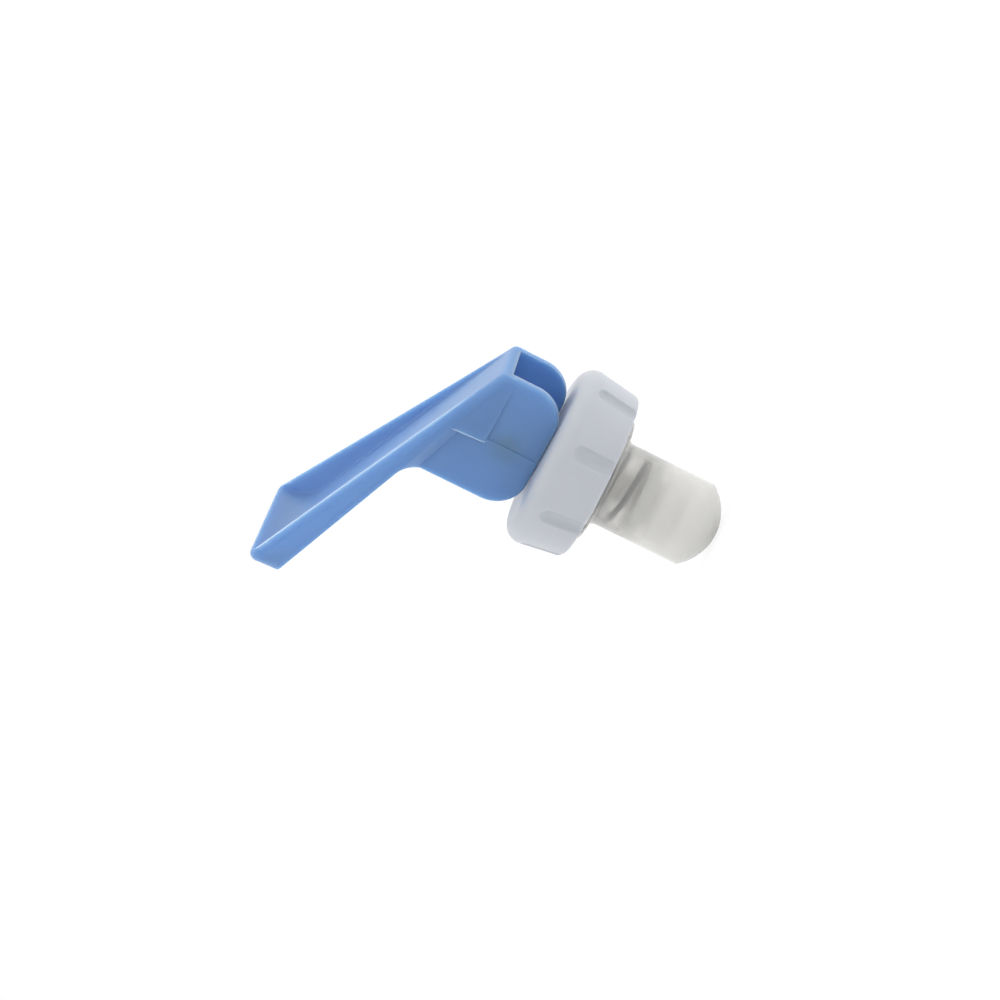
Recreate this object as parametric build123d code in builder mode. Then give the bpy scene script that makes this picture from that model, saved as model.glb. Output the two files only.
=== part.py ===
from build123d import *
import os
from math import atan2, cos, degrees, radians, sin, sqrt, tan

# Lever valve top of a self-closing water cooler tap, in millimetres.
# The origin is the centre of the cap's open rim, +Z runs up the valve axis to the handle,
# and the lever reaches out towards -X.

# Cap nut
cap_height = 12.2
cap_diameter = 36.0
cap_mouth_diameter = 33.4
cap_shoulder_round = 3.4
cap_rim_round = 1.3
cap_rim_wall = 2.2
cap_roof = 2.6
bore_lead = 0.4
guide_wall = 2.0
guide_length = 3.0
flute_count = 8
flute_width = 3.2
flute_depth = 1.0
flute_end_drop = 5.4
flute_lip_round = 0.5
flute_first_angle = -55.5

# Handle: clevis cheeks
cheek_gap = 10.4
cheek_thickness = 1.6
cheek_corner = 6.6
cheek_front = 11.7
cheek_rear = 13.9
cheek_edge_round = 0.4
cheek_recess_depth = 0.15
cheek_recess_front = 0.2
cap_gap = 0.15

# Handle: scooped lever
lever_rear_height = 13.5
lever_rear_thickness = 1.6
lever_reach = 41.4
lever_tip_slant = 1.9
lever_tip_width = 31.5
lever_tip_flare = 3.75
rim_slope = 26.9
under_slope = 21.9
under_round = 3.0
rim_round = 1.4
lever_wall = 1.7
trough_start = 12.5
trough_round = 0.9
scoop_length = 8.0
tip_lip = 1.6
tip_round = 2.0

# Handle: thickened pad and sloped ledge where the lever meets the cheeks
pad_front = -0.5
pad_foot = 10.8
pad_proud = 0.5
ledge_drop_rear = 1.8
ledge_drop_front = 3.0

# Stem
stem_diameter = 6.0
stem_clearance = 0.2
head_diameter = 8.0
head_side_clearance = 0.15
trunnion_diameter = 4.4
trunnion_length = 0.8
trunnion_clearance = 0.05
shoulder_diameter = 12.6
shoulder_thickness = 2.4
neck_diameter = 6.0
neck_length = 2.4
knob_diameter = 10.0
knob_length = 4.2

# Spring
spring_diameter = 13.2
wire_diameter = 1.1
spring_turns = 3.9
spring_start_angle = 106.0

# Seat cup
cup_diameter = 16.8
cup_cavity = 13.8
cup_floor_depth = 9.9
cup_straight = 20.15
cup_dome = 4.35
cup_corner_round = 0.5
flange_diameter = 25.0
flange_drop = 1.1
flange_thickness = 2.2
flange_edge_round = 0.6
flange_root_round = 2.0

# Shared places
cap_roof_under = cap_height - cap_roof
thread_bore = cap_mouth_diameter - 2 * cap_rim_wall
handle_base = cap_height + cap_gap
pivot_height = handle_base + cheek_corner
cheek_width = cheek_gap + 2 * cheek_thickness
lever_tip_foot = lever_tip_width - 2 * lever_tip_flare
shoulder_top = shoulder_thickness - cup_floor_depth
stem_hole = stem_diameter + 2 * stem_clearance


# Cap nut: turned outer form with a rounded shoulder, a threaded mouth and grip flutes
wall_run = (cap_diameter - cap_mouth_diameter) / 2
wall_rise = cap_height - cap_shoulder_round
wall_lean = degrees(atan2(wall_run, wall_rise))
flute_radius = (flute_width**2 / 4 + flute_depth**2) / (2 * flute_depth)
flute_end = cap_height - flute_end_drop
flute_end_wall = cap_mouth_diameter / 2 + wall_run * flute_end / wall_rise
flute_axis = flute_end_wall + flute_radius - flute_depth

def on_flute_lip(edge):
    """True for the edges where a flute runs out on the cap's outside."""
    middle = edge.center()
    away = sqrt(middle.X**2 + middle.Y**2)
    is_curved = edge.geom_type not in (GeomType.CIRCLE, GeomType.LINE)
    return is_curved and away > cap_mouth_diameter / 2 - cap_rim_wall


with BuildPart() as flute_cutter:
    with BuildSketch(Plane.XZ):
        with BuildLine():
            Polyline((0, flute_radius), (0, -cap_height), (flute_radius, -cap_height), (flute_radius, 0))
            RadiusArc((flute_radius, 0), (0, flute_radius), -flute_radius)
        make_face()
    revolve(axis=Axis.Z)

with BuildPart() as cap:
    with BuildSketch(Plane.XZ):
        with BuildLine():
            top_edge = (cap_diameter / 2 - cap_shoulder_round, cap_height)
            side_top = (cap_diameter / 2, wall_rise)
            side_foot = (cap_mouth_diameter / 2, 0)
            Polyline((0, cap_roof_under), (0, cap_height), top_edge)
            RadiusArc(top_edge, side_top, cap_shoulder_round)
            Polyline(
                side_top,
                side_foot,
                (thread_bore / 2 + bore_lead, 0),
                (thread_bore / 2, bore_lead),
                (thread_bore / 2, cap_roof_under),
                (0, cap_roof_under),
            )
        make_face()
    revolve(axis=Axis.Z)
    rim_edges = cap.edges().filter_by(GeomType.CIRCLE).group_by(Axis.Z)[0]
    fillet(rim_edges.sort_by(SortBy.RADIUS)[-1], cap_rim_round)
    with BuildSketch(Plane.XY.offset(cap_roof_under)):
        Circle(stem_hole / 2 + guide_wall)
    extrude(amount=-guide_length)
    with PolarLocations(flute_axis, flute_count, flute_first_angle):
        with Locations(Location((0, 0, flute_end), (0, wall_lean, 0))):
            add(flute_cutter.part, mode=Mode.SUBTRACT)
    fillet(cap.edges().filter_by(on_flute_lip), flute_lip_round)
    with Locations((0, 0, cap_height)):
        Hole(stem_hole / 2)
cap.part.label = "cap"


# Handle: outline points in the XZ plane
under_rear = handle_base + lever_rear_height - lever_rear_thickness
rim_rear = handle_base + lever_rear_height


def under_line(x):
    """Height of the lever's flat underside at x."""
    return under_rear + (cheek_rear - x) * tan(radians(under_slope))


def rim_line(x):
    """Height of the lever's rim at x."""
    return rim_rear + (cheek_rear - x) * tan(radians(rim_slope))


def lever_share(x):
    """How far along the lever's underside x lies, 0 at the rear and 1 at the tip."""
    return (cheek_rear - x) / (cheek_rear + lever_reach + lever_tip_slant)


def under_half(x):
    """Half the width of the lever's underside at x."""
    return (cheek_width + (lever_tip_foot - cheek_width) * lever_share(x)) / 2


def mirrored(half_low, z_low, half_high, z_high):
    """Corners of a four-sided section that is the same on both sides."""
    return [(-half_low, z_low), (half_low, z_low), (half_high, z_high), (-half_high, z_high)]


tip_top = (-lever_reach, rim_line(-lever_reach))
tip_foot_x = -lever_reach - lever_tip_slant
tip_foot = (tip_foot_x, under_line(tip_foot_x))
tip_height = sqrt((tip_top[0] - tip_foot[0]) ** 2 + (tip_top[1] - tip_foot[1]) ** 2)
tip_up = ((tip_top[0] - tip_foot[0]) / tip_height, (tip_top[1] - tip_foot[1]) / tip_height)
tip_plane = Plane(
    origin=(tip_top[0], 0, tip_top[1]), x_dir=(0, 1, 0), z_dir=(tip_up[1], 0, -tip_up[0])
)
rear_plane = Plane.YZ.offset(cheek_rear)
lever_overlap = lever_rear_thickness - rim_round
under_fillet_end = -cheek_front - 2 * under_round

# Trough: the space that the scooped lever leaves open, wider towards the tip
floor_start = (trough_start, rim_line(trough_start))
floor_run = (trough_start + lever_reach) / cos(radians(under_slope)) - scoop_length
floor_end = (
    trough_start - floor_run * cos(radians(under_slope)),
    floor_start[1] + floor_run * sin(radians(under_slope)),
)
scoop_top = (tip_top[0] + tip_lip, rim_line(tip_top[0] + tip_lip))
scoop_chord = degrees(atan2(scoop_top[1] - floor_end[1], floor_end[0] - scoop_top[0]))
scoop_rise = 2 * scoop_chord - under_slope
above_rim = 2 * lever_wall
start_half = cheek_width / 2 + (lever_tip_width - cheek_width) / 2 * lever_share(trough_start) - lever_wall
tip_lean = lever_tip_flare / tip_height
tip_rim_half = lever_tip_width / 2 - lever_wall


def below_rim(edge):
    """True for the edges where the trough's floor meets its side walls."""
    middle = edge.center()
    return abs(middle.Y) > lever_wall and middle.Z < rim_line(middle.X) - lever_wall / 2


with BuildPart() as trough:
    with BuildSketch(Plane.YZ.offset(trough_start)):
        low = floor_start[1] - above_rim
        high = floor_start[1] + above_rim
        Polygon(*mirrored(start_half, low, start_half, high), align=None)
    with BuildSketch(tip_plane):
        low_half = tip_rim_half - tip_lean * tip_height
        high_half = tip_rim_half + tip_lean * above_rim
        Polygon(*mirrored(low_half, -tip_height, high_half, above_rim), align=None)
    loft(ruled=True)
    with BuildSketch(Plane.XZ):
        with BuildLine():
            Line(floor_start, floor_end)
            TangentArc(floor_end, scoop_top, tangent=(-cos(radians(under_slope)), sin(radians(under_slope))))
            run_out = PolarLine(scoop_top, above_rim, 180 - scoop_rise)
            Polyline(run_out @ 1, (floor_start[0], floor_start[1] + above_rim), floor_start)
        make_face()
    extrude(amount=lever_tip_width, both=True, mode=Mode.INTERSECT)
    wall_feet = trough.edges().filter_by(below_rim)
    fillet(wall_feet, trough_round)


def on_rim(edge):
    """True for an edge that lies in the lever's rim plane."""
    points = [edge @ share for share in (0, 0.5, 1)]
    return all(abs(point.Z - rim_line(point.X)) < 0.01 for point in points)


def at_tip_corner(edge):
    """True for the two upright corners of the lever's tip."""
    return edge.center().X < tip_top[0] and abs(edge.center().Y) > lever_tip_foot / 2


def on_cheek_outline(edge):
    """True for the edges round the outside of a cheek, below the pad."""
    points = [edge @ share for share in (0, 0.5, 1)]
    outside = all(abs(abs(point.Y) - cheek_width / 2) < 0.01 for point in points)
    return outside and edge.center().Z < handle_base + pad_foot - 0.01


# Lever: flat underside, leaning walls, from a thin rear edge to the deep wide tip
with BuildPart() as lever:
    with BuildSketch(rear_plane):
        Polygon(*mirrored(cheek_width / 2, under_rear, cheek_width / 2, rim_rear), align=None)
    with BuildSketch(tip_plane):
        Polygon(*mirrored(lever_tip_foot / 2, -tip_height, lever_tip_width / 2, 0), align=None)
    loft(ruled=True)
    fillet(lever.edges().filter_by(at_tip_corner), tip_round)
    fillet(lever.edges().filter_by(on_rim), rim_round)
    add(trough.part, mode=Mode.SUBTRACT)

with BuildPart() as handle:
    # Sloped ledge under the lever, from the cheek's face out to the lever's lower edge
    for x, drop in ((pad_front, ledge_drop_rear), (under_fillet_end, ledge_drop_front)):
        with BuildSketch(Plane.YZ.offset(x)):
            Polygon(
                *mirrored(cheek_width / 2, under_line(x) - drop, under_half(x), under_line(x)), align=None
            )
    loft(ruled=True)
    # Pad: the lever's wall carried down over the rear of the cheek
    pad_low = handle_base + pad_foot
    with BuildSketch(Plane.YZ.offset(pad_front)):
        Polygon(
            *mirrored(
                cheek_width / 2 + pad_proud, pad_low, under_half(pad_front), under_line(pad_front)
            ),
            align=None,
        )
    with BuildSketch(rear_plane):
        Polygon(*mirrored(cheek_width / 2, pad_low, cheek_width / 2, under_rear), align=None)
    loft(ruled=True)
    # Clevis block with rolled lower corners
    with BuildSketch(Plane.XZ) as clevis_outline:
        with BuildLine():
            FilletPolyline(
                (cheek_rear, under_rear + lever_overlap),
                (cheek_rear, handle_base),
                (-cheek_front, handle_base),
                (-cheek_front, under_line(-cheek_front)),
                (under_fillet_end, under_line(under_fillet_end)),
                radius=[cheek_corner, cheek_corner, under_round],
            )
            Polyline(
                (under_fillet_end, under_line(under_fillet_end)),
                (under_fillet_end, under_line(under_fillet_end) + lever_overlap),
                (cheek_rear, under_rear + lever_overlap),
            )
        make_face()
    extrude(amount=lever_tip_width, both=True, mode=Mode.INTERSECT)
    extrude(clevis_outline.sketch, amount=cheek_width / 2, both=True)
    # Gap between the cheeks, open below, at the front and at the rear
    with BuildSketch(Plane.XZ):
        with Locations((0, handle_base)):
            Rectangle(4 * cheek_rear, 4 * lever_rear_height)
    extrude(amount=cheek_gap / 2, both=True, mode=Mode.SUBTRACT)
    fillet(handle.edges().filter_by(on_cheek_outline), cheek_edge_round)
    add(lever.part)
    # Shallow sunk field on the rear half of each cheek, running out at the rear edge
    with BuildSketch(Plane.XY.offset(handle_base)):
        for side in (-1, 1):
            outside = side * cheek_width
            face = side * cheek_width / 2
            sunk = side * (cheek_width / 2 - cheek_recess_depth)
            Polygon(
                (cheek_recess_front, outside),
                (cheek_recess_front, sunk),
                (cheek_rear, face),
                (cheek_rear, outside),
                align=None,
            )
    extrude(amount=pad_foot, mode=Mode.SUBTRACT)
    # Blind sockets for the stem's trunnions
    with BuildSketch(Plane.XZ):
        with Locations((0, pivot_height)):
            Circle(trunnion_diameter / 2 + trunnion_clearance)
    socket_half = cheek_gap / 2 + trunnion_length + trunnion_clearance
    extrude(amount=socket_half, both=True, mode=Mode.SUBTRACT)
handle.part.label = "handle"


# Stem: cross head with trunnions, rod, spring shoulder, neck and knob
head_length = cheek_gap - 2 * head_side_clearance
shoulder_foot = -cup_floor_depth
knob_top = shoulder_foot - neck_length
knob_foot = knob_top - knob_length

with BuildPart() as stem:
    with BuildSketch(Plane.XY.offset(knob_foot)):
        Circle(knob_diameter / 2)
    extrude(amount=knob_length)
    with BuildSketch(Plane.XY.offset(knob_top)):
        Circle(neck_diameter / 2)
    extrude(amount=neck_length)
    with BuildSketch(Plane.XY.offset(shoulder_foot)):
        Circle(shoulder_diameter / 2)
    extrude(amount=shoulder_thickness)
    with BuildSketch(Plane.XY.offset(shoulder_top)):
        Circle(stem_diameter / 2)
    extrude(amount=pivot_height - shoulder_top)
    with BuildSketch(Plane.XZ):
        with Locations((0, pivot_height)):
            Circle(head_diameter / 2)
    extrude(amount=head_length / 2, both=True)
    with BuildSketch(Plane.XZ):
        with Locations((0, pivot_height)):
            Circle(trunnion_diameter / 2)
    extrude(amount=cheek_gap / 2 + trunnion_length, both=True)
stem.part.label = "stem"


# Spring: open coil with ground ends, between the cap's roof and the stem's shoulder
spring_length = cap_roof_under - shoulder_top
coil_radius = (spring_diameter - wire_diameter) / 2

with BuildPart() as wire:
    with BuildLine(Plane.XY.offset(shoulder_top)) as coil:
        Helix(spring_length / spring_turns, spring_length, coil_radius, lefthand=True)
    with BuildSketch(Plane(origin=coil.line @ 0, z_dir=coil.line % 0)):
        Circle(wire_diameter / 2)
    sweep(is_frenet=True)

with BuildPart() as spring:
    add(wire.part, rotation=(0, 0, spring_start_angle))
    with BuildSketch(Plane.XY.offset(shoulder_top)):
        Circle(spring_diameter)
    extrude(amount=spring_length, mode=Mode.INTERSECT)
spring.part.label = "spring"


# Seat cup: flanged silicone cup with a domed end, moulded round the stem's knob
cup_foot = -cup_straight
dome_apex = cup_foot - cup_dome
flange_foot = -flange_drop
flange_top = flange_foot + flange_thickness

with BuildPart() as seat_cup:
    with BuildSketch(Plane.XZ):
        with BuildLine():
            dome_radius = ((cup_diameter / 2) ** 2 + cup_dome**2) / (2 * cup_dome)
            FilletPolyline(
                (cup_cavity / 2, flange_top),
                (flange_diameter / 2, flange_top),
                (flange_diameter / 2, flange_foot),
                (cup_diameter / 2, flange_foot),
                (cup_diameter / 2, cup_foot),
                radius=[flange_edge_round, flange_edge_round, flange_root_round],
            )
            RadiusArc((cup_diameter / 2, cup_foot), (0, dome_apex), dome_radius)
            Polyline(
                (0, dome_apex),
                (0, knob_foot),
                (knob_diameter / 2, knob_foot),
                (knob_diameter / 2, knob_top),
                (neck_diameter / 2, knob_top),
                (neck_diameter / 2, shoulder_foot),
                (cup_cavity / 2, shoulder_foot),
                (cup_cavity / 2, flange_top),
            )
        make_face()
    revolve(axis=Axis.Z)
    cup_corner = seat_cup.edges().filter_by_position(Axis.Z, cup_foot, cup_foot)
    fillet(cup_corner, cup_corner_round)
seat_cup.part.label = "seat_cup"


os.makedirs("parts", exist_ok=True)
for piece in (cap, handle, stem, spring, seat_cup):
    export_step(piece.part, f"parts/{piece.part.label}.step")
    print(piece.part.label, round(piece.part.volume, 1), piece.part.is_valid)
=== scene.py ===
# %% [markdown]
# # Lever valve top of a water cooler tap
# A self-closing tap top has a blue scooped lever on a two-cheek clevis, a pale fluted cap nut,
# a coil spring on a stem and a soft silicone cup that closes the outlet. The imported model gives
# the rigid shapes and the frame. This lesson dresses them: it mixes a finish for each moulding,
# winds the spring, adds the ridge of the thread in the cap and sets up the picture.

# %% Load the frame
import math

import bpy
from mathutils import Matrix, Vector


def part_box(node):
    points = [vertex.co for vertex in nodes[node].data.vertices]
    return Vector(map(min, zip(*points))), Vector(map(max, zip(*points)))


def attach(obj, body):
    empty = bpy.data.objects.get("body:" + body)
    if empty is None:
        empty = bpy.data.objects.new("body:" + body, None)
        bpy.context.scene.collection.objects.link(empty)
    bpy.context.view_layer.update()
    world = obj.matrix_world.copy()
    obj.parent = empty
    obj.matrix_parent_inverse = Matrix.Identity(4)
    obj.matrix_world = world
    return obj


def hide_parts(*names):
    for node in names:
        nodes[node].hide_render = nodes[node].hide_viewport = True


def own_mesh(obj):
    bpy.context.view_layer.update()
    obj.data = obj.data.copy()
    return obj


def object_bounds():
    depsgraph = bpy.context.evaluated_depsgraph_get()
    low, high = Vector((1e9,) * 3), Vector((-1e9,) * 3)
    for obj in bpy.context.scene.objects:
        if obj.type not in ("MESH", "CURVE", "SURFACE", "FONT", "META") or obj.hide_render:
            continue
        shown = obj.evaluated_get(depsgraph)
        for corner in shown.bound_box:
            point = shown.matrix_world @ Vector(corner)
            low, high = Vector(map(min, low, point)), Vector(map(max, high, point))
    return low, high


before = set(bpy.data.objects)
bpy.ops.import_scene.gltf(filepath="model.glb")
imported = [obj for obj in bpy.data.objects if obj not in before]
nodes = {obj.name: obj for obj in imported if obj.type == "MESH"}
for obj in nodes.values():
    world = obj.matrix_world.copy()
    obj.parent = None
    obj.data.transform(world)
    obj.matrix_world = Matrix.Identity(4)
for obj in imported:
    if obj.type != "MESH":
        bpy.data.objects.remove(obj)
cad_low, cad_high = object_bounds()
mm = 0.001
print("nodes:", sorted(nodes), "box in mm:", [round(v / mm, 1) for v in (cad_high - cad_low)])

# %% [markdown]
# ## A small kit for finishes
# Moulded plastic is never one flat tone: it has a slow drift of colour where the melt flowed, a
# fine skin from the mould and soft dips where thick walls sank. Each finish below is one
# Principled shader. A helper adds the noise, ramp and bump nodes, all on Object coordinates, so
# that a pattern stays on its piece when the piece moves.

# %% Finish helpers
def new_finish(name, values):
    """A material with one Principled shader whose fixed sockets are set by name."""
    material = bpy.data.materials.new(name)
    material.use_nodes = True
    shader = material.node_tree.nodes["Principled BSDF"]
    for socket, value in values.items():
        shader.inputs[socket].default_value = value
    return material, material.node_tree, shader


def noise(tree, scale, detail=3.0, stretch=(1, 1, 1)):
    """A noise texture on Object coordinates; scale counts features in a metre."""
    place = tree.nodes.new("ShaderNodeTexCoord")
    turn = tree.nodes.new("ShaderNodeMapping")
    turn.inputs["Scale"].default_value = stretch
    grain = tree.nodes.new("ShaderNodeTexNoise")
    grain.inputs["Scale"].default_value = scale
    grain.inputs["Detail"].default_value = detail
    tree.links.new(place.outputs["Object"], turn.inputs["Vector"])
    tree.links.new(turn.outputs["Vector"], grain.inputs["Vector"])
    return grain.outputs["Fac"]


noise_low, noise_high = 0.3, 0.7


def tones(tree, factor, low, high):
    """A colour ramp between two tones, over the range where a noise mostly lies."""
    ramp = tree.nodes.new("ShaderNodeValToRGB")
    stops = ((noise_low, low), (noise_high, high))
    for element, (place, colour) in zip(ramp.color_ramp.elements, stops):
        element.position = place
        element.color = (*colour, 1)
    tree.links.new(factor, ramp.inputs["Fac"])
    return ramp.outputs["Color"]


def map_range(tree, from_low, from_high, to_low, to_high):
    """A Map Range node with its four limits set."""
    node = tree.nodes.new("ShaderNodeMapRange")
    node.inputs["From Min"].default_value = from_low
    node.inputs["From Max"].default_value = from_high
    node.inputs["To Min"].default_value = to_low
    node.inputs["To Max"].default_value = to_high
    return node


def spread(tree, factor, low, high):
    """Maps a noise factor on to a range of values, such as a roughness."""
    mapped = map_range(tree, noise_low, noise_high, low, high)
    tree.links.new(factor, mapped.inputs["Value"])
    return mapped.outputs["Result"]


def relief(tree, layers):
    """Bump nodes in a chain, one for each (height, strength, depth in mm)."""
    normal = None
    for height, strength, depth in layers:
        bump = tree.nodes.new("ShaderNodeBump")
        bump.inputs["Strength"].default_value = strength
        bump.inputs["Distance"].default_value = depth * mm
        tree.links.new(height, bump.inputs["Height"])
        if normal is not None:
            tree.links.new(normal, bump.inputs["Normal"])
        normal = bump.outputs["Normal"]
    return normal


def dress(node, material):
    """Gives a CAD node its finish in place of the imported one."""
    nodes[node].data.materials.clear()
    nodes[node].data.materials.append(material)


print("finish helpers ready")

# %% [markdown]
# ## Blue lever plastic
# The lever is injection moulded in a semi-gloss sky blue. Its flat faces mirror the white room
# weakly, so the tone at grazing angles comes from the shader's own gloss and isn't painted. Light
# goes some millimetres into the plastic, so a thin wall glows where light stands behind it, and
# the gap between the cheeks turns a deep blue. A noise drifts the tone by a few percent, and a slow
# bump bends the reflections as sunk walls do.

# %% Blue lever plastic
blue, blue_tree, blue_shader = new_finish(
    "blue_lever_plastic",
    {
        "IOR": 1.49,
        "Sheen Weight": 0.15,
        "Sheen Roughness": 0.45,
        "Subsurface Weight": 0.9,
        "Subsurface Radius": (0.85, 0.92, 1.0),
        "Subsurface Scale": 5.0 * mm,
    },
)
flow = noise(blue_tree, 38, 4, (1, 1, 0.5))
skin = noise(blue_tree, 2600, 2)
sink = noise(blue_tree, 55, 1)
blue_links = blue_tree.links
blue_links.new(
    tones(blue_tree, flow, (0.122, 0.254, 0.492), (0.134, 0.270, 0.516)),
    blue_shader.inputs["Base Color"],
)
blue_links.new(spread(blue_tree, flow, 0.30, 0.38), blue_shader.inputs["Roughness"])
blue_links.new(
    relief(blue_tree, [(sink, 0.25, 0.10), (skin, 0.10, 0.010)]), blue_shader.inputs["Normal"]
)
dress("handle", blue)
print("handle faces:", len(nodes["handle"].data.polygons))

# %% [markdown]
# ## Pale cap plastic
# The cap nut is a cool white moulding with a softer skin than the lever. White plastic lets a
# little light in, so a small share of subsurface rounds off its shadows.

# %% Pale cap plastic
pale, pale_tree, pale_shader = new_finish(
    "pale_cap_plastic",
    {"IOR": 1.5, "Subsurface Weight": 0.12, "Subsurface Scale": 0.6 * mm},
)
cloud = noise(pale_tree, 70, 4)
pale_skin = noise(pale_tree, 2200, 2)
pale_sink = noise(pale_tree, 90, 1)
pale_links = pale_tree.links
pale_links.new(
    tones(pale_tree, cloud, (0.485, 0.510, 0.555), (0.515, 0.540, 0.582)),
    pale_shader.inputs["Base Color"],
)
pale_links.new(spread(pale_tree, cloud, 0.28, 0.38), pale_shader.inputs["Roughness"])
pale_links.new(
    relief(pale_tree, [(pale_sink, 0.3, 0.10), (pale_skin, 0.12, 0.010)]),
    pale_shader.inputs["Normal"],
)
dress("cap", pale)
print("cap faces:", len(nodes["cap"].data.polygons))

# %% [markdown]
# ## Silicone cup
# The cup is a milky, warm silicone. Its thin wall lets light through, so that the spring shows as
# dark lines near the cap, while the thick end scatters so much that it looks almost solid white.
# The share of light that passes is therefore a function of place: the height along the axis sets
# it on the outside, and the faces of the cavity, known by their small radius, are left clear.
# Where more light passes the tint is paler too, so that the wall doesn't turn grey. The cavity has
# a matt skin: the spring close behind it stays plain, and the stem further in is blurred.

# %% Where the cup lets light through
milky, milky_tree, milky_shader = new_finish("milky_silicone", {"IOR": 1.41})
milky_links = milky_tree.links
spot = milky_tree.nodes.new("ShaderNodeTexCoord")
height = milky_tree.nodes.new("ShaderNodeSeparateXYZ")
flat = milky_tree.nodes.new("ShaderNodeVectorMath")
flat.operation = "MULTIPLY"
flat.inputs[1].default_value = (1, 1, 0)
radius = milky_tree.nodes.new("ShaderNodeVectorMath")
radius.operation = "LENGTH"
milky_links.new(spot.outputs["Object"], height.inputs["Vector"])
milky_links.new(spot.outputs["Object"], flat.inputs[0])
milky_links.new(flat.outputs["Vector"], radius.inputs[0])
thick_end, thin_wall = -12.0 * mm, -7.0 * mm
cavity_floor, cavity_side = -19.0 * mm, -18.0 * mm
inner_radius, outer_radius = 7.2 * mm, 7.9 * mm
end_passes, wall_passes, cavity_passes = 0.25, 0.76, 0.97
outside = map_range(milky_tree, thick_end, thin_wall, end_passes, wall_passes)
above_end = map_range(milky_tree, cavity_floor, cavity_side, 0, 1)
near_axis = map_range(milky_tree, inner_radius, outer_radius, 1, 0)
in_cavity = milky_tree.nodes.new("ShaderNodeMath")
in_cavity.operation = "MULTIPLY"
passes = map_range(milky_tree, 0, 1, 0, cavity_passes)
milky_links.new(height.outputs["Z"], outside.inputs["Value"])
milky_links.new(height.outputs["Z"], above_end.inputs["Value"])
milky_links.new(radius.outputs["Value"], near_axis.inputs["Value"])
milky_links.new(above_end.outputs["Result"], in_cavity.inputs[0])
milky_links.new(near_axis.outputs["Result"], in_cavity.inputs[1])
milky_links.new(in_cavity.outputs["Value"], passes.inputs["Value"])
milky_links.new(outside.outputs["Result"], passes.inputs["To Min"])
milky_links.new(passes.outputs["Result"], milky_shader.inputs["Transmission Weight"])
print("cup lets through:", end_passes, "at its end and", wall_passes, "at its wall")

# %% Silicone finish
clear_tint = (0.97, 0.965, 0.945, 1)
cavity_roughness = 0.55
haze = noise(milky_tree, 160, 5)
milky_skin = noise(milky_tree, 1800, 3)
tint = milky_tree.nodes.new("ShaderNodeMix")
tint.data_type = "RGBA"
milky_links.new(passes.outputs["Result"], tint.inputs["Factor"])
milky_links.new(
    tones(milky_tree, haze, (0.815, 0.807, 0.772), (0.845, 0.838, 0.808)),
    tint.inputs["A"],
)
tint.inputs["B"].default_value = clear_tint
milky_links.new(tint.outputs["Result"], milky_shader.inputs["Base Color"])
matt = map_range(milky_tree, 0, 1, 0, cavity_roughness)
milky_links.new(in_cavity.outputs["Value"], matt.inputs["Value"])
milky_links.new(spread(milky_tree, haze, 0.21, 0.25), matt.inputs["To Min"])
milky_links.new(matt.outputs["Result"], milky_shader.inputs["Roughness"])
milky_links.new(
    relief(milky_tree, [(milky_skin, 0.10, 0.010)]),
    milky_shader.inputs["Normal"],
)
dress("seat_cup", milky)
print("cup faces:", len(nodes["seat_cup"].data.polygons))

# %% [markdown]
# ## Stem plastic and spring steel
# The stem is a plain white moulding that works out of sight between the cheeks and in the cup.
# The spring is drawn steel wire: metal with a fine grain along the draw, which a noise stretched
# round the axis stands for.

# %% Stem plastic
chalk, chalk_tree, chalk_shader = new_finish("chalk_stem_plastic", {"IOR": 1.5})
chalk_cloud = noise(chalk_tree, 110, 3)
chalk_tree.links.new(
    tones(chalk_tree, chalk_cloud, (0.80, 0.80, 0.78), (0.84, 0.84, 0.82)),
    chalk_shader.inputs["Base Color"],
)
chalk_tree.links.new(spread(chalk_tree, chalk_cloud, 0.42, 0.52), chalk_shader.inputs["Roughness"])
dress("stem", chalk)
print("stem faces:", len(nodes["stem"].data.polygons))

# %% Spring steel
steel, steel_tree, steel_shader = new_finish("drawn_spring_steel", {"Metallic": 1.0})
draw_marks = noise(steel_tree, 900, 3, (1, 1, 0.2))
steel_tree.links.new(
    tones(steel_tree, draw_marks, (0.04, 0.04, 0.05), (0.08, 0.08, 0.09)),
    steel_shader.inputs["Base Color"],
)
steel_tree.links.new(spread(steel_tree, draw_marks, 0.26, 0.40), steel_shader.inputs["Roughness"])
steel_tree.links.new(relief(steel_tree, [(draw_marks, 0.2, 0.01)]), steel_shader.inputs["Normal"])
print("steel mixed")

# %% [markdown]
# ## Node trees for what follows a path
# The spring's wire and the cap's thread both follow a helix, so a rule makes them better than hand
# placed points. Each gets a small Geometry Nodes tree with named inputs. The helpers below make a
# tree, set its inputs by their identifiers and turn the result into a plain mesh.

# %% Tree helpers
def new_tree(name, sizes):
    """An empty geometry tree with a float input for each size, a Finish and a Geometry output."""
    tree = bpy.data.node_groups.new(name, "GeometryNodeTree")
    for size in sizes:
        tree.interface.new_socket(size, in_out="INPUT", socket_type="NodeSocketFloat")
    tree.interface.new_socket("Finish", in_out="INPUT", socket_type="NodeSocketMaterial")
    tree.interface.new_socket("Geometry", in_out="OUTPUT", socket_type="NodeSocketGeometry")
    return tree, tree.nodes.new("NodeGroupInput").outputs


def join(tree, output, node, socket):
    """Links an output to a node's named input and gives the node back."""
    tree.links.new(output, node.inputs[socket])
    return node


def add(tree, kind, **values):
    """A new node with the given input values; underscores stand for spaces."""
    node = tree.nodes.new(kind)
    for socket, value in values.items():
        node.inputs[socket.replace("_", " ")].default_value = value
    return node


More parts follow.
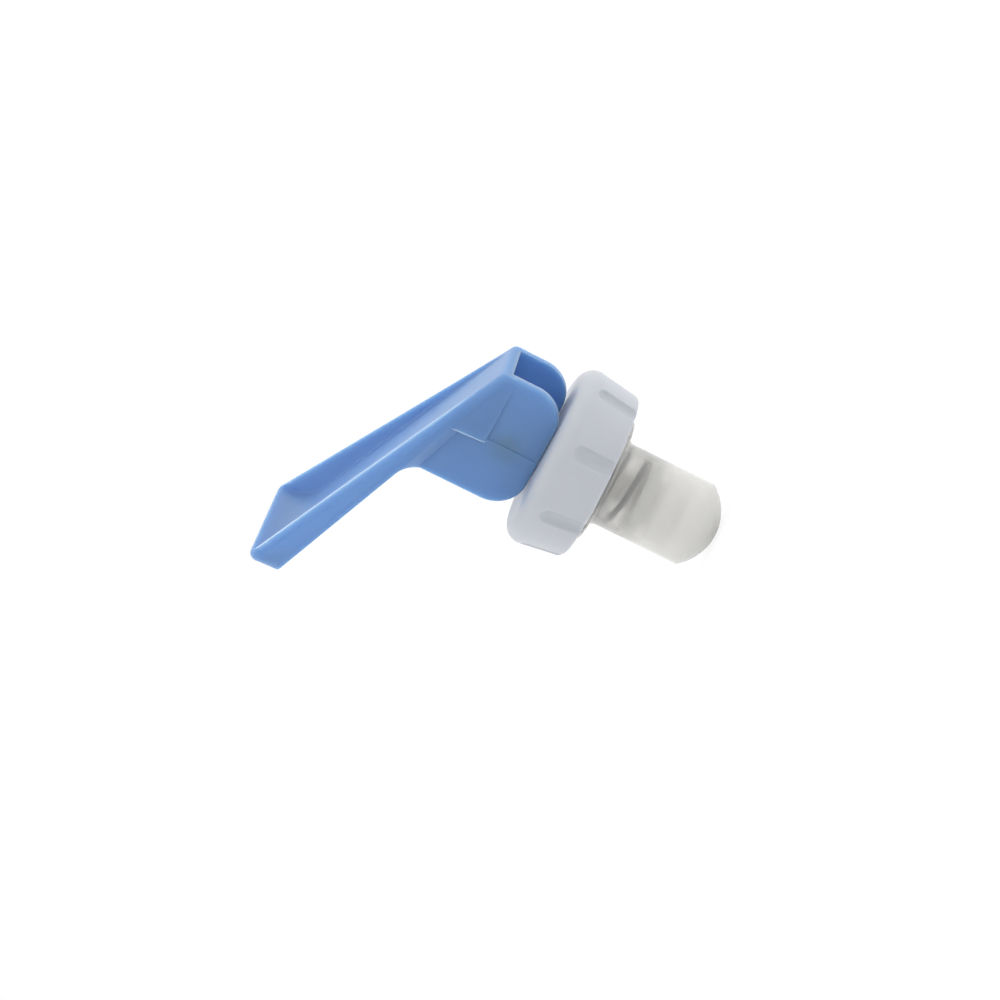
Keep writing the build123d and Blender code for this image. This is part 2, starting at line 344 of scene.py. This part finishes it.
def close_tree(tree, mesh, finish):
    """Ends a tree: smooth faces, material, realised instances, output."""
    new = tree.nodes.new
    smooth = join(tree, mesh, new("GeometryNodeSetShadeSmooth"), "Geometry")
    paint = join(tree, smooth.outputs["Geometry"], new("GeometryNodeSetMaterial"), "Geometry")
    join(tree, finish, paint, "Material")
    real = join(tree, paint.outputs["Geometry"], new("GeometryNodeRealizeInstances"), "Geometry")
    join(tree, real.outputs["Geometry"], new("NodeGroupOutput"), "Geometry")


def grow(name, tree, values):
    """Runs a tree once and keeps the result as a plain mesh object at the origin."""
    seed = bpy.data.objects.new(name + "_seed", bpy.data.meshes.new(name + "_seed"))
    bpy.context.scene.collection.objects.link(seed)
    modifier = seed.modifiers.new("tree", "NODES")
    modifier.node_group = tree
    for item in tree.interface.items_tree:
        if item.in_out == "INPUT":
            modifier[item.identifier] = values[item.name]
    done = seed.evaluated_get(bpy.context.evaluated_depsgraph_get())
    mesh = bpy.data.meshes.new_from_object(done)
    mesh.name = name
    bpy.data.objects.remove(seed)
    piece = bpy.data.objects.new(name, mesh)
    bpy.context.scene.collection.objects.link(piece)
    return piece


print("tree helpers ready")

# %% [markdown]
# ## Wound spring
# One wire is wound in a left-hand helix of 3.9 turns, and its ends are ground flat where they
# press on the cap's roof and on the stem's shoulder. A spiral curve carries a round profile, and
# every point that would stand past an end is brought back to that plane, which is what grinding
# does. The coil shortens as the stem lifts; the piece rides on the coil's body.

# %% Spring tree
spring_tree, spring_size = new_tree(
    "wound_spring",
    ["Turns", "Length", "Coil Radius", "Wire Radius", "Foot Height", "Start Angle"],
)
spiral = add(spring_tree, "GeometryNodeCurveSpiral", Resolution=48)
for source, socket in (
    ("Turns", "Rotations"),
    ("Length", "Height"),
    ("Coil Radius", "Start Radius"),
    ("Coil Radius", "End Radius"),
):
    join(spring_tree, spring_size[source], spiral, socket)
foot = add(spring_tree, "ShaderNodeCombineXYZ")
join(spring_tree, spring_size["Foot Height"], foot, "Z")
turned = add(spring_tree, "ShaderNodeCombineXYZ")
join(spring_tree, spring_size["Start Angle"], turned, "Z")
placed = add(spring_tree, "GeometryNodeTransform")
join(spring_tree, spiral.outputs["Curve"], placed, "Geometry")
join(spring_tree, foot.outputs["Vector"], placed, "Translation")
join(spring_tree, turned.outputs["Vector"], placed, "Rotation")
ring = add(spring_tree, "GeometryNodeCurvePrimitiveCircle", Resolution=20)
join(spring_tree, spring_size["Wire Radius"], ring, "Radius")
wire = add(spring_tree, "GeometryNodeCurveToMesh", Fill_Caps=True)
join(spring_tree, placed.outputs["Geometry"], wire, "Curve")
join(spring_tree, ring.outputs["Curve"], wire, "Profile Curve")
print("spring tree nodes:", len(spring_tree.nodes))

# %% Ground ends
top = add(spring_tree, "ShaderNodeMath")
join(spring_tree, spring_size["Foot Height"], top, 0)
join(spring_tree, spring_size["Length"], top, 1)
where = add(spring_tree, "GeometryNodeInputPosition")
parts = add(spring_tree, "ShaderNodeSeparateXYZ")
join(spring_tree, where.outputs["Position"], parts, "Vector")
ground = add(spring_tree, "ShaderNodeClamp")
join(spring_tree, parts.outputs["Z"], ground, "Value")
join(spring_tree, spring_size["Foot Height"], ground, "Min")
join(spring_tree, top.outputs["Value"], ground, "Max")
ground_spot = add(spring_tree, "ShaderNodeCombineXYZ")
join(spring_tree, parts.outputs["X"], ground_spot, "X")
join(spring_tree, parts.outputs["Y"], ground_spot, "Y")
join(spring_tree, ground.outputs["Result"], ground_spot, "Z")
flat_ends = add(spring_tree, "GeometryNodeSetPosition")
join(spring_tree, wire.outputs["Mesh"], flat_ends, "Geometry")
join(spring_tree, ground_spot.outputs["Vector"], flat_ends, "Position")
close_tree(spring_tree, flat_ends.outputs["Geometry"], spring_size["Finish"])
print("spring tree closed with", len(spring_tree.nodes), "nodes")

# %% Wound spring
coil_low, coil_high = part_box("spring")
coil_length = coil_high.z - coil_low.z
wire_radius = 0.55 * mm
wound_spring = grow(
    "wound_spring",
    spring_tree,
    {
        "Turns": 3.9,
        "Length": coil_length,
        "Coil Radius": coil_high.x - wire_radius,
        "Wire Radius": wire_radius,
        "Foot Height": coil_low.z,
        "Start Angle": math.radians(106),
        "Finish": steel,
    },
)
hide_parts("spring")
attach(wound_spring, "coil")
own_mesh(wound_spring)
print("spring faces:", len(wound_spring.data.polygons), "length mm:", round(coil_length / mm, 2))

# %% [markdown]
# ## Thread in the cap
# The cap screws on the tap's neck, so its bore carries a coarse moulded thread, seen only from
# below. A trapezium follows a helix on the bore's wall, its root sunk a little in the wall, and it
# shrinks to nothing at both ends as a moulded thread runs out. There the points of the profile
# fall together and are merged, which closes the mesh.

# %% Thread tree
thread_tree, thread_size = new_tree(
    "cap_thread",
    ["Turns", "Rise", "Bore Radius", "Ridge Height", "Root Width", "Crest Width", "Foot Height"],
)
spiral = add(thread_tree, "GeometryNodeCurveSpiral", Resolution=72)
for source, socket in (
    ("Turns", "Rotations"),
    ("Rise", "Height"),
    ("Bore Radius", "Start Radius"),
    ("Bore Radius", "End Radius"),
):
    join(thread_tree, thread_size[source], spiral, socket)
foot = add(thread_tree, "ShaderNodeCombineXYZ")
join(thread_tree, thread_size["Foot Height"], foot, "Z")
placed = add(thread_tree, "GeometryNodeTransform")
join(thread_tree, spiral.outputs["Curve"], placed, "Geometry")
join(thread_tree, foot.outputs["Vector"], placed, "Translation")
upright = thread_tree.nodes.new("GeometryNodeSetCurveNormal")
upright.mode = "Z_UP"
join(thread_tree, placed.outputs["Geometry"], upright, "Curve")
form = thread_tree.nodes.new("GeometryNodeCurvePrimitiveQuadrilateral")
form.mode = "TRAPEZOID"
form.inputs["Offset"].default_value = 0.0
for source, socket in (
    ("Ridge Height", "Height"),
    ("Root Width", "Bottom Width"),
    ("Crest Width", "Top Width"),
):
    join(thread_tree, thread_size[source], form, socket)
facing = add(thread_tree, "GeometryNodeTransform", Rotation=(0, 0, -math.pi / 2))
join(thread_tree, form.outputs["Curve"], facing, "Geometry")
print("thread tree nodes:", len(thread_tree.nodes))

# %% Run-out of the thread
run_share = 0.12
share = thread_tree.nodes.new("GeometryNodeSplineParameter")
run_in = map_range(thread_tree, 0, run_share, 0, 1)
run_out = map_range(thread_tree, 1, 1 - run_share, 0, 1)
for ramp in (run_in, run_out):
    ramp.interpolation_type = "SMOOTHSTEP"
    join(thread_tree, share.outputs["Factor"], ramp, "Value")
taper = thread_tree.nodes.new("ShaderNodeMath")
taper.operation = "MULTIPLY"
join(thread_tree, run_in.outputs["Result"], taper, 0)
join(thread_tree, run_out.outputs["Result"], taper, 1)
ridge = add(thread_tree, "GeometryNodeCurveToMesh", Fill_Caps=True)
join(thread_tree, upright.outputs["Curve"], ridge, "Curve")
join(thread_tree, facing.outputs["Geometry"], ridge, "Profile Curve")
join(thread_tree, taper.outputs["Value"], ridge, "Scale")
closed = add(thread_tree, "GeometryNodeMergeByDistance", Distance=0.001 * mm)
join(thread_tree, ridge.outputs["Mesh"], closed, "Geometry")
close_tree(thread_tree, closed.outputs["Geometry"], thread_size["Finish"])
print("thread tree closed with", len(thread_tree.nodes), "nodes")

# %% Thread in the cap
# The trapezium is centred on the bore's wall, so half of its height is buried.
ridge_height = 0.8 * mm
cap_thread = grow(
    "cap_thread",
    thread_tree,
    {
        "Turns": 1.9,
        "Rise": 5.7 * mm,
        "Bore Radius": 14.5 * mm,
        "Ridge Height": 2 * ridge_height,
        "Root Width": 2.6 * mm,
        "Crest Width": 0.6 * mm,
        "Foot Height": 1.8 * mm,
        "Finish": pale,
    },
)
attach(cap_thread, "cap")
print("thread faces:", len(cap_thread.data.polygons))
reach = [math.hypot(v.co.x, v.co.y) / mm for v in cap_thread.data.vertices]
print("thread radius mm:", round(min(reach), 2), "to", round(max(reach), 2))

# %% [markdown]
# ## Room light
# The photograph has soft light all round, as in a white tent. It seems weaker on the camera's side
# and strongest where the scoop looks. Lamps would leave hard edges, so a fixed gradient in the
# world does this: one map falls off towards the viewer and a second adds light from the side that
# the scoop faces. Both were set by trial against the picture.

# %% Room light
view_azimuth = math.radians(28.235)
view_elevation = math.radians(4.74)
towards_viewer = Vector(
    (
        math.sin(view_azimuth) * math.cos(view_elevation),
        -math.cos(view_azimuth) * math.cos(view_elevation),
        math.sin(view_elevation),
    )
)
world = bpy.data.worlds.new("white_room")
world.use_nodes = True
bpy.context.scene.world = world
sky = world.node_tree
room = sky.nodes["Background"]
direction = sky.nodes.new("ShaderNodeTexCoord")
plain_white = (1, 1, 1, 1)


def slope_of_light(axis, steps):
    """Strength that goes from one value to another as a direction turns towards axis."""
    facing = sky.nodes.new("ShaderNodeVectorMath")
    facing.operation = "DOT_PRODUCT"
    facing.inputs[1].default_value = axis
    ramp = map_range(sky, *steps)
    ramp.interpolation_type = "SMOOTHSTEP"
    sky.links.new(direction.outputs["Generated"], facing.inputs[0])
    sky.links.new(facing.outputs["Value"], ramp.inputs["Value"])
    return ramp.outputs["Result"]


viewer_fall = (-0.1, 0.95, 1.48, 0.41)
scoop_side = (0.75, 0, 0.66)
scoop_glow = (0.1, 0.9, 0.0, 0.26)
total = sky.nodes.new("ShaderNodeMath")
sky.links.new(slope_of_light(towards_viewer, viewer_fall), total.inputs[0])
sky.links.new(slope_of_light(scoop_side, scoop_glow), total.inputs[1])
room.inputs["Color"].default_value = plain_white
sky.links.new(total.outputs["Value"], room.inputs["Strength"])
print("room light:", viewer_fall[2], "falling to", viewer_fall[3], "on the viewer's side")

# %% [markdown]
# ## White background
# The part stands before plain white. Camera, glossy and transmitted rays meet a white world instead
# of the gradient, so that the background is white in the picture, in reflections and through the
# cup, while the gradient still lights the surfaces.

# %% White background
white = sky.nodes.new("ShaderNodeBackground")
white.inputs["Color"].default_value = plain_white
white.inputs["Strength"].default_value = 1.0


def white_rays(tree):
    """1 for camera, glossy and transmitted rays, 0 for the rays that light a surface."""
    rays = tree.nodes.new("ShaderNodeLightPath")
    seen = rays.outputs["Is Camera Ray"]
    for kind in ("Is Glossy Ray", "Is Transmission Ray"):
        either = tree.nodes.new("ShaderNodeMath")
        either.operation = "MAXIMUM"
        tree.links.new(seen, either.inputs[0])
        tree.links.new(rays.outputs[kind], either.inputs[1])
        seen = either.outputs["Value"]
    return seen


pick = sky.nodes.new("ShaderNodeMixShader")
sky.links.new(white_rays(sky), pick.inputs["Fac"])
sky.links.new(room.outputs["Background"], pick.inputs[1])
sky.links.new(white.outputs["Background"], pick.inputs[2])
sky.links.new(pick.outputs["Shader"], sky.nodes["World Output"].inputs["Surface"])
print("white background at strength", white.inputs["Strength"].default_value)

# %% [markdown]
# ## Floor
# A sheet of white paper lies under the lowest point of the part. Lit paper alone would look grey
# where the room is dark, so for the same rays as above most of it is a plain glow.

# %% Floor
half_side = 3.0
paper_glow = 1.05
glow_share = 0.85
floor_mesh = bpy.data.meshes.new("floor")
signs = ((-1, -1), (1, -1), (1, 1), (-1, 1))
corners = [(x * half_side, y * half_side, cad_low.z) for x, y in signs]
floor_mesh.from_pydata(corners, [], [(0, 1, 2, 3)])
floor = bpy.data.objects.new("floor", floor_mesh)
bpy.context.scene.collection.objects.link(floor)
paper = bpy.data.materials.new("white_paper")
paper.use_nodes = True
sheet = paper.node_tree
lit = sheet.nodes["Principled BSDF"]
lit.inputs["Base Color"].default_value = (0.9, 0.9, 0.9, 1)
lit.inputs["Roughness"].default_value = 1.0
lit.inputs["Specular IOR Level"].default_value = 0.0
glow = sheet.nodes.new("ShaderNodeEmission")
glow.inputs["Color"].default_value = plain_white
glow.inputs["Strength"].default_value = paper_glow
shares = sheet.nodes.new("ShaderNodeMath")
shares.operation = "MULTIPLY"
shares.inputs[1].default_value = glow_share
blend = sheet.nodes.new("ShaderNodeMixShader")
sheet.links.new(white_rays(sheet), shares.inputs[0])
sheet.links.new(shares.outputs["Value"], blend.inputs["Fac"])
sheet.links.new(lit.outputs["BSDF"], blend.inputs[1])
sheet.links.new(glow.outputs["Emission"], blend.inputs[2])
sheet.links.new(blend.outputs["Shader"], sheet.nodes["Material Output"].inputs["Surface"])
floor_mesh.materials.append(paper)
print("floor at mm:", round(cad_low.z / mm, 2))

# %% [markdown]
# ## Camera
# The photograph looks almost straight at the side of the valve and is turned, so that the valve's
# axis runs down to the right. The camera is placed by the point in the middle of the picture, the
# direction to the viewer, the turn and the distance.

# %% Camera
aim = Vector((-10.982, -5.327, 15.2495)) * mm
distance = 592.5 * mm
turn = math.radians(-63.882)
level_right = Vector((math.cos(view_azimuth), math.sin(view_azimuth), 0))
level_up = towards_viewer.cross(level_right)
picture_right = math.cos(turn) * level_right + math.sin(turn) * level_up
picture_up = math.cos(turn) * level_up - math.sin(turn) * level_right
lens_data = bpy.data.cameras.new("camera")
lens_data.lens = 112.6
lens_data.sensor_width = 36
lens_data.clip_start = 0.01
lens_data.clip_end = 20
camera = bpy.data.objects.new("camera", lens_data)
axes = Matrix((picture_right, picture_up, towards_viewer)).transposed()
camera.matrix_world = Matrix.Translation(aim + towards_viewer * distance) @ axes.to_4x4()
bpy.context.scene.collection.objects.link(camera)
bpy.context.scene.camera = camera
bpy.context.scene.view_settings.view_transform = "Standard"
print("camera", [round(v, 4) for v in camera.location])

# %% End
print("scene set up")
